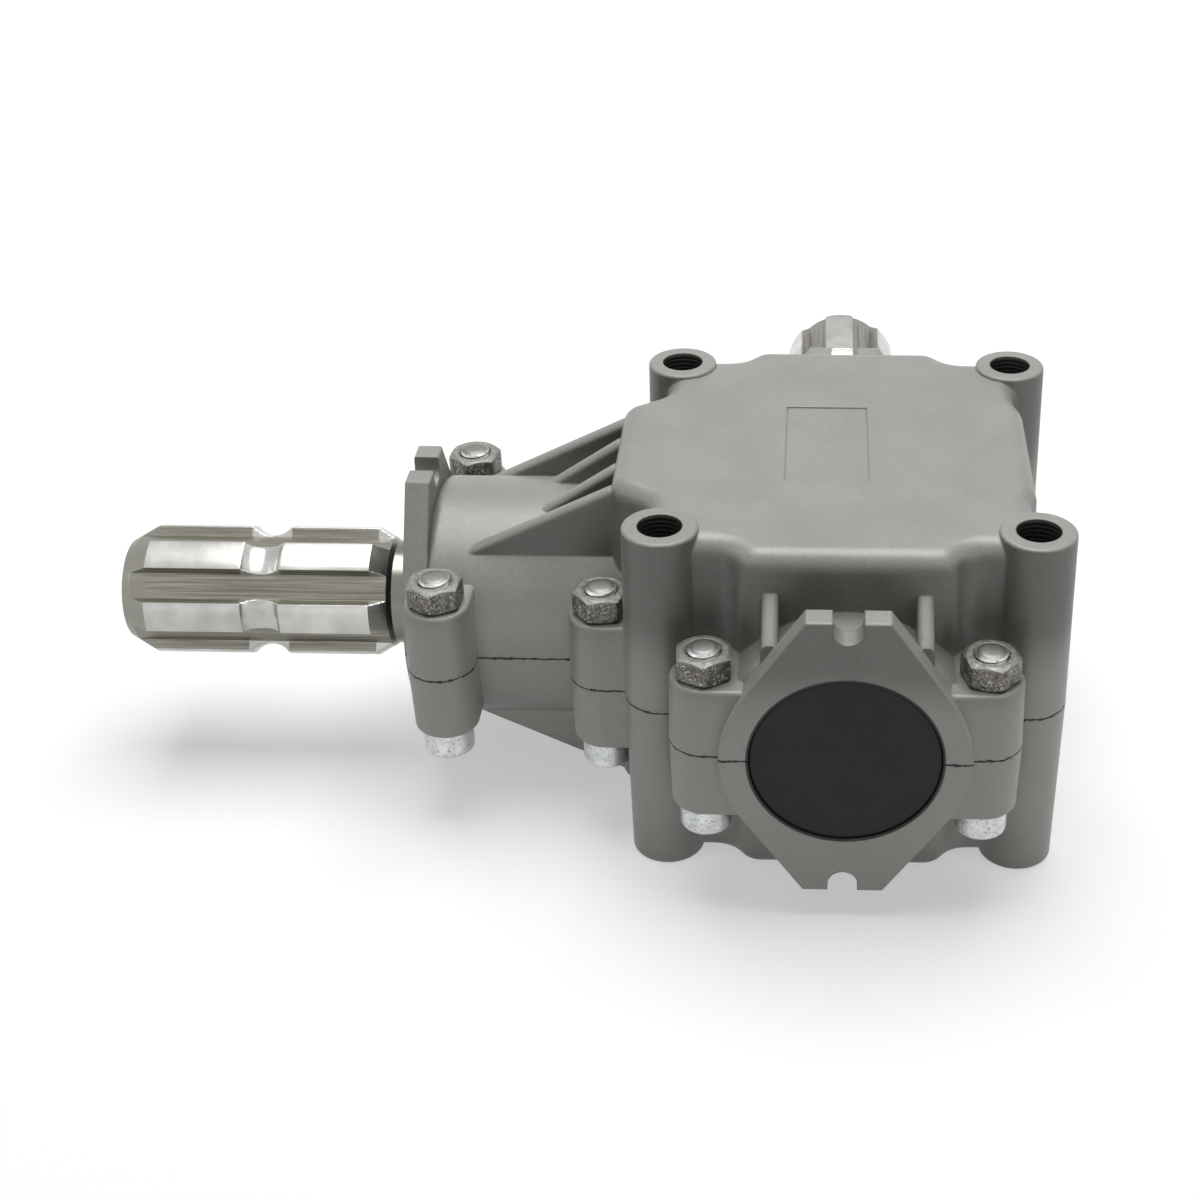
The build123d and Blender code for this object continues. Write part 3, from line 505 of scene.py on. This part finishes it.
# %% Shaft steel
def turned_steel(name, along, mouth):
    """Bright steel with rings round an axis, dull brown streaks along the spaces of its teeth, and painted
    shade from the neck inwards.
    """
    steel = Finish(name, Metallic=1.0, Roughness=0.24)
    across = [3.0 if axis == along else 0.05 for axis in range(3)]
    lengthways = [0.03 if axis == along else 2.0 for axis in range(3)]
    rings = steel.noise(1.0, detail=4.0, roughness=0.7, place=steel.stretched(*across))
    streaks = steel.noise(1.0, detail=4.0, roughness=0.7, place=steel.stretched(*lengthways))
    film = steel.noise(14.0, detail=3.0)
    side, out = (steel.y, -steel.x) if along == X_AXIS else (steel.x, steel.y)
    radius = (side * side + steel.z * steel.z) ** 0.5
    past_cone = out.ramp(mouth + CONE_END - 0.1, mouth + CONE_END + 0.1)
    past_neck = out.ramp(mouth + NECK_END + 1.3, mouth + NECK_END + 1.4)
    off_groove = (out - (mouth + SPLINE_REACH - GROOVE_FROM_END)).size().ramp(5.3, 5.6)
    side_of_tooth = radius.ramp(TOOTH_TOP - 0.1, TOOTH_TOP - 0.35) * past_cone * off_groove
    floor_between = radius.ramp(TOOTH_FOOT + 0.12, TOOTH_FOOT + 0.04) * past_neck
    milled = side_of_tooth.highest(floor_between)
    chamfer = (out - (mouth + SPLINE_REACH - CHAMFER_LENGTH)).ramp(0.0, 0.1)
    bright = steel.mix(film.ramp(0.3, 0.75), (0.40, 0.40, 0.38), (0.60, 0.60, 0.575))
    # Painted shade: the neck and the shaft inside the housing are darkened, for shadow and the dark
    # surroundings it reflects.
    bright = steel.mix(1 - past_neck, bright, (0.20, 0.20, 0.18))
    dull = steel.mix(streaks.ramp(0.36, 0.64), (0.165, 0.158, 0.130), (0.315, 0.308, 0.265))
    colour = steel.mix(milled, bright, dull)
    steel.drive(Base_Color=steel.mix(chamfer * 0.85, colour, (0.26, 0.255, 0.225)))
    steel.drive(Roughness=0.14 + rings * 0.1 + streaks * 0.06 + milled * 0.14)
    steel.relief(rings * 0.005 + streaks * 0.007 + streaks * milled * 0.012, soften=0.3)
    return steel


input_steel = turned_steel("input_shaft_steel", X_AXIS, input_mouth)
input_steel.coat(shafts["input"])
input_steel.wear("input_spacer")
output_steel = turned_steel("output_shaft_steel", Y_AXIS, output_mouth)
output_steel.coat(shafts["output"])
output_steel.wear("rear_spacer", "front_spacer")
print("two shafts and three spacer tubes are steel")

# %% [markdown]
# ## Nuts and screws
# Eight screws hold the halves together, each with its head below and a nut on top. Both
# are small, yet their edges catch the light in the picture, so they are shaped anew: the
# nut with the curved corners that its cone shaped chamfer leaves, and the screw with a
# rounded head, a thread and a slightly domed end.
#
# The screw's profile starts at the bottom of its hexagon socket, comes out under the head
# and goes up to the domed end. The thread is a wave of the radius, whose phase is the
# height over the pitch less the share of a turn, so that it climbs once a turn.

# %% The screws
BOLT_RADIUS, HEAD_RADIUS, HEAD_ROUND, HEAD_EDGE = 4.0, 6.5, 1.1, 0.3
SOCKET_FLATS, SOCKET_DEPTH, SOCKET_EDGE = 6.0, 4.0, 0.4
THREAD_PITCH, THREAD_DEPTH, THREAD_LENGTH = 1.25, 0.5, 9.0
DOME_RADIUS, DOME_RISE, END_ROUND = 3.1, 0.25, 0.5
RIM_WIDTH, RIM_DROP = 0.25, 0.3
SCREW_STEPS = 72
angle = np.linspace(0, 2 * math.pi, SCREW_STEPS, endpoint=False)


def per_row(*numbers):
    """Numbers one below the other, one for each row of points."""
    return np.array(numbers, float)[:, None]


socket = hexagon(SOCKET_FLATS, angle)
socket_floor, head_top = bolt_low + SOCKET_DEPTH, -nut_low
floor_rows = around(per_row(*np.linspace(0.1, 1, 4)) * socket, socket_floor, angle)
wall_rows = around(socket, per_row(*np.linspace(socket_floor, bolt_low + SOCKET_EDGE, 3)), angle)
flat_edge = HEAD_RADIUS - HEAD_ROUND
under_rows = around(np.maximum(socket + SOCKET_EDGE, per_row(0, flat_edge)), bolt_low, angle)
quarter = per_row(*np.linspace(0, math.pi / 2, 7))
edge_radius = flat_edge + HEAD_ROUND * np.sin(quarter)
edge_rows = around(edge_radius, bolt_low + HEAD_ROUND * (1 - np.cos(quarter)), angle)
side_radius = per_row(HEAD_RADIUS, HEAD_RADIUS - HEAD_EDGE, BOLT_RADIUS)
side_rows = around(side_radius, head_top + per_row(-HEAD_EDGE, 0, 0), angle)
thread_end = bolt_high - DOME_RISE - END_ROUND
climb = per_row(*np.linspace(bolt_high - THREAD_LENGTH, thread_end, 60))
phase = climb / THREAD_PITCH - angle / (2 * math.pi)
valley = 2 * np.abs(np.mod(phase, 1) - 0.5)
run_in = np.clip((climb - climb[0]) / THREAD_PITCH, 0, 1)
thread_rows = around(BOLT_RADIUS - THREAD_DEPTH * run_in * valley, climb, angle)
dome = per_row(*np.linspace(1, 0.05, 8))
rim = dome == 1
dome_height = bolt_high - DOME_RISE * dome**2 - RIM_DROP * rim
dome_rows = around(DOME_RADIUS * dome + RIM_WIDTH * rim, dome_height, angle)
head_rows = [floor_rows, wall_rows, under_rows, edge_rows, side_rows]
screw_grid = np.concatenate(head_rows + [thread_rows, dome_rows])
screws = skin("socket_head_screws", screw_grid, bolt_places, looped=False)
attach(screws, "housing")
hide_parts("housing_bolts")

# %% [markdown]
# The nut's profile is a loop: up its threaded bore, over a small countersink, across the
# top, down a cone of thirty degrees until the cone meets the hexagon, and back underneath.

# %% The nuts
BORE_RADIUS, COUNTERSINK_RADIUS, COUNTERSINK_DEPTH, FACE_RADIUS = 4.05, 4.75, 0.7, 5.9
CONE, CORNER_CUT = math.tan(math.radians(30)), 0.12
NUT_TURNS = np.radians([-7.0, -27.0, -13.0, -35.0, 9.0, 20.0, -15.0, 25.0])
nut_angle = np.linspace(0, 2 * math.pi, 96, endpoint=False)
across_corners = NUT_WIDTH / 2 / math.cos(math.pi / 6)
outline = np.minimum(hexagon(NUT_WIDTH, nut_angle), across_corners - CORNER_CUT)
share = per_row(*np.linspace(0, 1, 5))
face_radius = FACE_RADIUS + (outline - FACE_RADIUS) * share
face_drop = (outline - FACE_RADIUS) * CONE * share
bore_rows = per_row(BORE_RADIUS, COUNTERSINK_RADIUS)
nut_rows = [
    around(bore_rows, per_row(nut_high - COUNTERSINK_DEPTH, nut_high), nut_angle),
    around(face_radius, nut_high - face_drop, nut_angle),
    around(face_radius[::-1], nut_low + face_drop[::-1], nut_angle),
    around(bore_rows[::-1], per_row(nut_low, nut_low + COUNTERSINK_DEPTH), nut_angle),
]
nut_grid = np.concatenate(nut_rows)
print("one nut:", nut_grid.shape)


def turned_copies(grid, turns):
    """The same grid turned about its axis by each angle: x cos t - y sin t, x sin t + y cos t."""
    x, y, z = np.moveaxis(grid, -1, 0)
    cosines, sines = np.cos(turns), np.sin(turns)
    return [np.stack([x * c - y * s, x * s + y * c, z], axis=-1) for c, s in zip(cosines, sines)]


nuts = []
for number, grid in enumerate(turned_copies(nut_grid, NUT_TURNS)):
    nut = skin(f"hexagon_nut_{number + 1}", grid, bolt_places[number : number + 1], looped=True)
    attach(nut, "housing")
    nuts.append(nut)
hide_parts("housing_nuts")

# %% [markdown]
# The nuts are hot forged and only dipped in oil. Their flats keep a dark, hammered skin
# with bright scuffs from the spanner, and their tops are rubbed to an even grey. The
# screws are plated with zinc. It is bright, slightly bluish, and stained in small spots.

# %% Forged nuts and plated screws
forged = Finish("forged_nut_steel", Metallic=0.85, Roughness=0.4)
dents = forged.noise(1.5, detail=3.0)
scuffs = forged.noise(0.55, detail=4.0, roughness=0.75, lift=(5.0, 2.0, 8.0)).ramp(0.50, 0.62)
scuffs = scuffs * forged.noise(3.2, detail=2.0, lift=(8.0, 1.0, 3.0)).ramp(0.36, 0.56)
rubbed = forged.z.ramp(nut_high - 1.3, nut_high - 0.3)
skin_colour = forged.mix(dents.ramp(0.35, 0.65), (0.075, 0.070, 0.058), (0.165, 0.158, 0.138))
skin_colour = forged.mix(rubbed * 0.75, skin_colour, (0.265, 0.262, 0.24))
forged.drive(Base_Color=forged.mix(scuffs * (1 - rubbed * 0.6), skin_colour, (0.62, 0.60, 0.54)))
forged.drive(Roughness=0.3 + dents * 0.25 + rubbed * 0.05)
forged.relief(dents * 0.30 + scuffs * 0.06, soften=0.3)
for nut in nuts:
    forged.coat(nut)

zinc = Finish("zinc_plated_steel", Metallic=1.0, Roughness=0.22)
film = zinc.noise(3.0, detail=3.0)
spots = zinc.noise(0.9, detail=4.0, roughness=0.7, lift=(2.0, 4.0, 6.0))
plating = zinc.mix(film.ramp(0.35, 0.7), (0.52, 0.54, 0.54), (0.68, 0.70, 0.69))
# Painted shade: the domed screw ends are darkened, which dims their reflection of the overhead lamp.
screw_end = zinc.z.ramp(bolt_high - 0.9, bolt_high - 0.5)
plating = zinc.mix(screw_end * 0.9, plating, (0.15, 0.155, 0.145))
zinc.drive(Base_Color=zinc.mix(spots.ramp(0.57, 0.66) * 0.85, plating, (0.17, 0.145, 0.10)))
zinc.drive(Roughness=0.24 + spots * 0.25 + screw_end * 0.12)
zinc.relief(spots * 0.03, soften=0.15)
zinc.coat(screws)
zinc.wear("filler_plug", "drain_plug")
print("nuts forged, screws plated")

# %% [markdown]
# ## Rubber
# Rubber is nearly black, and its sheen is broad and weak. A thin bloom of grey dust makes
# it read as rubber and not as paint.

# %% Cap and seals
rubber = Finish("black_rubber", Roughness=0.55, Specular_IOR_Level=0.3)
bloom = rubber.noise(9.0, detail=4.0, roughness=0.6)
pores = rubber.noise(0.5, detail=2.0)
rubber.drive(Base_Color=rubber.mix(bloom.ramp(0.35, 0.8), (0.010, 0.0105, 0.010), (0.018, 0.0185, 0.0175)))
rubber.drive(Roughness=0.5 + pores * 0.15)
rubber.relief(pores * 0.02, soften=1.0)
rubber.wear("front_end_cap", "input_seal", "output_seal")

# %% [markdown]
# ## What is inside
# The gears, bearings, keys and rings are hidden while the housing is closed, and they are
# finished as carefully, because a hidden piece is seen when the housing is taken away.

# %% Gears, bearings and small steel
def ground_steel(name, light, dark, rough):
    """Fine ground steel: two close greys in soft clouds, with a fine even grain."""
    steel = Finish(name, Metallic=1.0, Roughness=rough)
    clouds = steel.noise(6.0, detail=3.0)
    fine = steel.noise(0.4, detail=3.0)
    steel.drive(Base_Color=steel.mix(clouds.ramp(0.3, 0.7), dark, light))
    steel.drive(Roughness=rough - 0.08 + fine * 0.16)
    steel.relief(fine * 0.01, soften=1.0)
    return steel


bearing_places = ("input_outer", "input_inner", "rear", "front")
gear_steel = ground_steel("hardened_gear_steel", (0.40, 0.40, 0.41), (0.28, 0.28, 0.30), 0.34)
gear_steel.wear("pinion", "bevel_gear")
bearing_steel = ground_steel("bearing_steel", (0.74, 0.74, 0.73), (0.62, 0.62, 0.62), 0.16)
for place in bearing_places:
    bearing_steel.wear(f"{place}_outer_ring", f"{place}_inner_ring", f"{place}_balls")
spring_steel = ground_steel("dark_spring_steel", (0.14, 0.14, 0.145), (0.08, 0.08, 0.085), 0.4)
spring_steel.wear("pinion_circlip", "output_circlip", "input_seal_spring", "output_seal_spring")
key_steel = ground_steel("key_steel", (0.6, 0.6, 0.59), (0.5, 0.5, 0.49), 0.28)
key_steel.wear("pinion_key", "gear_key")
soft_metal = ground_steel("soft_aluminium", (0.78, 0.78, 0.78), (0.68, 0.68, 0.68), 0.38)
soft_metal.wear("filler_washer", "drain_washer")

nylon = Finish("cage_nylon", Roughness=0.5)
threads = nylon.noise(1.5, detail=3.0)
nylon.drive(Base_Color=nylon.mix(threads.ramp(0.3, 0.7), (0.16, 0.12, 0.07), (0.21, 0.16, 0.10)))
nylon.drive(Roughness=0.42 + threads * 0.15)
nylon.wear(*[f"{place}_cage" for place in bearing_places])

# %% [markdown]
# ## Floor, backdrop and light
# The photograph was taken on white. A white floor in Blender turns grey wherever its
# light falls off, so the floor glows to the camera and in reflections, and is an ordinary
# pale surface to everything else. Its glow is weak near the gearbox, which keeps the soft
# shadow, and grows outwards as the lamps' own light fades.

# %% Floor
FLOOR_REACH = 8.0
corners = np.array([(-1, -1), (1, -1), (1, 1), (-1, 1)]) * FLOOR_REACH
floor_mesh = bpy.data.meshes.new("floor")
floor_mesh.from_pydata([(x, y, floor_level) for x, y in corners.tolist()], [], [(0, 1, 2, 3)])
floor = bpy.data.objects.new("floor", floor_mesh)
bpy.context.scene.collection.objects.link(floor)


def seen_directly(tree):
    """A value that is 1 for rays from the camera, in a reflection or through glass, else 0."""
    path = tree.nodes.new("ShaderNodeLightPath")
    total = None
    for ray in ("Is Camera Ray", "Is Glossy Ray", "Is Transmission Ray"):
        if total is None:
            total = path.outputs[ray]
            continue
        either = tree.nodes.new("ShaderNodeMath")
        either.operation = "MAXIMUM"
        tree.links.new(total, either.inputs[0])
        tree.links.new(path.outputs[ray], either.inputs[1])
        total = either.outputs[0]
    return total


FLOOR_GREY = 0.62
NEAR_GLOW, FAR_GLOW = 0.45, 1.0
GLOW_START, GLOW_END = 0.2, 1.0
floor_paint = bpy.data.materials.new("pale_floor")
floor_paint.use_nodes = True
tree = floor_paint.node_tree
shader = tree.nodes["Principled BSDF"]
shader.inputs["Base Color"].default_value = (FLOOR_GREY, FLOOR_GREY, FLOOR_GREY, 1)
shader.inputs["Roughness"].default_value = 0.8
shader.inputs["Emission Color"].default_value = (1, 1, 1, 1)
place = tree.nodes.new("ShaderNodeTexCoord")
distance = tree.nodes.new("ShaderNodeVectorMath")
distance.operation = "LENGTH"
tree.links.new(place.outputs["Object"], distance.inputs[0])
growth = tree.nodes.new("ShaderNodeMapRange")
growth.interpolation_type = "SMOOTHSTEP"
growth.inputs["From Min"].default_value = GLOW_START
growth.inputs["From Max"].default_value = GLOW_END
growth.inputs["To Min"].default_value = NEAR_GLOW
growth.inputs["To Max"].default_value = FAR_GLOW
tree.links.new(distance.outputs["Value"], growth.inputs[0])
glow = tree.nodes.new("ShaderNodeMath")
glow.operation = "MULTIPLY"
tree.links.new(growth.outputs[0], glow.inputs[1])
tree.links.new(seen_directly(tree), glow.inputs[0])
tree.links.new(glow.outputs[0], shader.inputs["Emission Strength"])
floor_mesh.materials.append(floor_paint)
print("floor at", round(floor_level / MM, 1), "mm")

# %% [markdown]
# The room round the gearbox gives a little even light, so that no shadow is quite black.
# To the camera and in reflections it is a white backdrop, as the photographer's was.

# %% World
WORLD_LIGHT = 0.06
world = bpy.data.worlds.new("studio")
bpy.context.scene.world = world
world.use_nodes = True
tree = world.node_tree
tree.nodes.clear()
world_output = tree.nodes.new("ShaderNodeOutputWorld")
room = tree.nodes.new("ShaderNodeBackground")
backdrop = tree.nodes.new("ShaderNodeBackground")
room.inputs["Strength"].default_value = WORLD_LIGHT
backdrop.inputs["Strength"].default_value = 1.0
for light in (room, backdrop):
    light.inputs["Color"].default_value = (1, 1, 1, 1)
choice = tree.nodes.new("ShaderNodeMixShader")
tree.links.new(seen_directly(tree), choice.inputs[0])
tree.links.new(room.outputs[0], choice.inputs[1])
tree.links.new(backdrop.outputs[0], choice.inputs[2])
tree.links.new(choice.outputs[0], world_output.inputs[0])
print("even light of", WORLD_LIGHT)

# %% [markdown]
# The picture has one large soft light above and slightly behind the gearbox: the roof is
# pale, the front is darker, and the shadow lies soft on all sides. Two weak lamps to the
# left and the right stand for the light that white card throws back.

# %% Lamps
def softbox(name, place, aim, width, height, power):
    """A rectangular lamp at a place, turned to an aim, both in metres."""
    lamp = bpy.data.lights.new(name, "AREA")
    lamp.shape = "RECTANGLE"
    lamp.size = width
    lamp.size_y = height
    lamp.energy = power
    holder = bpy.data.objects.new(name, lamp)
    bpy.context.scene.collection.objects.link(holder)
    place, aim = np.array(place, float), np.array(aim, float)
    back = (place - aim) / np.linalg.norm(place - aim)
    right = np.cross((0, 1, 0) if abs(back[2]) > 0.9 else (0, 0, 1), back)
    right /= np.linalg.norm(right)
    turn = np.eye(4)
    turn[:3, 0], turn[:3, 1], turn[:3, 2], turn[:3, 3] = right, np.cross(back, right), back, place
    holder.matrix_world = Matrix(turn.tolist())
    return holder


softbox("overhead", (0.0, 0.15, 1.0), (0, 0, 0), 0.8, 0.8, 11.0)
softbox("left_fill", (-1.3, -0.3, 0.7), (-0.05, 0, 0), 0.6, 0.6, 1.0)
softbox("right_fill", (0.9, -0.7, 0.12), (0, 0, 0), 0.5, 0.4, 0.9)
print("three soft lamps")

# %% [markdown]
# ## The camera
# The camera stands where the photograph was taken from. Its place and turn come from
# fitting the known corners of the gearbox to where they fall in the picture.

# %% Camera
PICTURE_SIDE = 1200
FOCAL_PIXELS = 2001.1
MIDDLE_X, MIDDLE_Y = 738.66, 565.29
YAW, PITCH, ROLL = (math.radians(angle) for angle in (2.420, 31.398, -0.478))
CAMERA_PLACE = (-8.951, -460.467, 291.1)


def camera_turn(yaw, pitch, roll):
    """The camera's right, up and back directions: turned by yaw from +Y, tipped down, then rolled."""
    right = np.array([math.cos(yaw), math.sin(yaw), 0])
    ahead = np.array([-math.sin(yaw), math.cos(yaw), 0])
    up = np.array([0, 0, 1])
    view = ahead * math.cos(pitch) - up * math.sin(pitch)
    top = up * math.cos(pitch) + ahead * math.sin(pitch)
    rolled_right = right * math.cos(roll) + top * math.sin(roll)
    rolled_top = top * math.cos(roll) - right * math.sin(roll)
    return rolled_right, rolled_top, -view


lens = bpy.data.cameras.new("camera")
lens.sensor_width = 36.0
lens.lens = FOCAL_PIXELS / PICTURE_SIDE * lens.sensor_width
lens.shift_x = (PICTURE_SIDE / 2 - MIDDLE_X) / PICTURE_SIDE
lens.shift_y = (MIDDLE_Y - PICTURE_SIDE / 2) / PICTURE_SIDE
lens.clip_start = 0.01
camera = bpy.data.objects.new("camera", lens)
bpy.context.scene.collection.objects.link(camera)
pose = np.eye(4)
pose[:3, 0], pose[:3, 1], pose[:3, 2] = camera_turn(YAW, PITCH, ROLL)
pose[:3, 3] = np.array(CAMERA_PLACE) * MM
camera.matrix_world = Matrix(pose.tolist())
bpy.context.scene.camera = camera
print("camera at", CAMERA_PLACE, "mm with a lens of", round(lens.lens, 1), "mm")
bpy.context.scene.view_settings.view_transform = "Standard"

# %% [markdown]
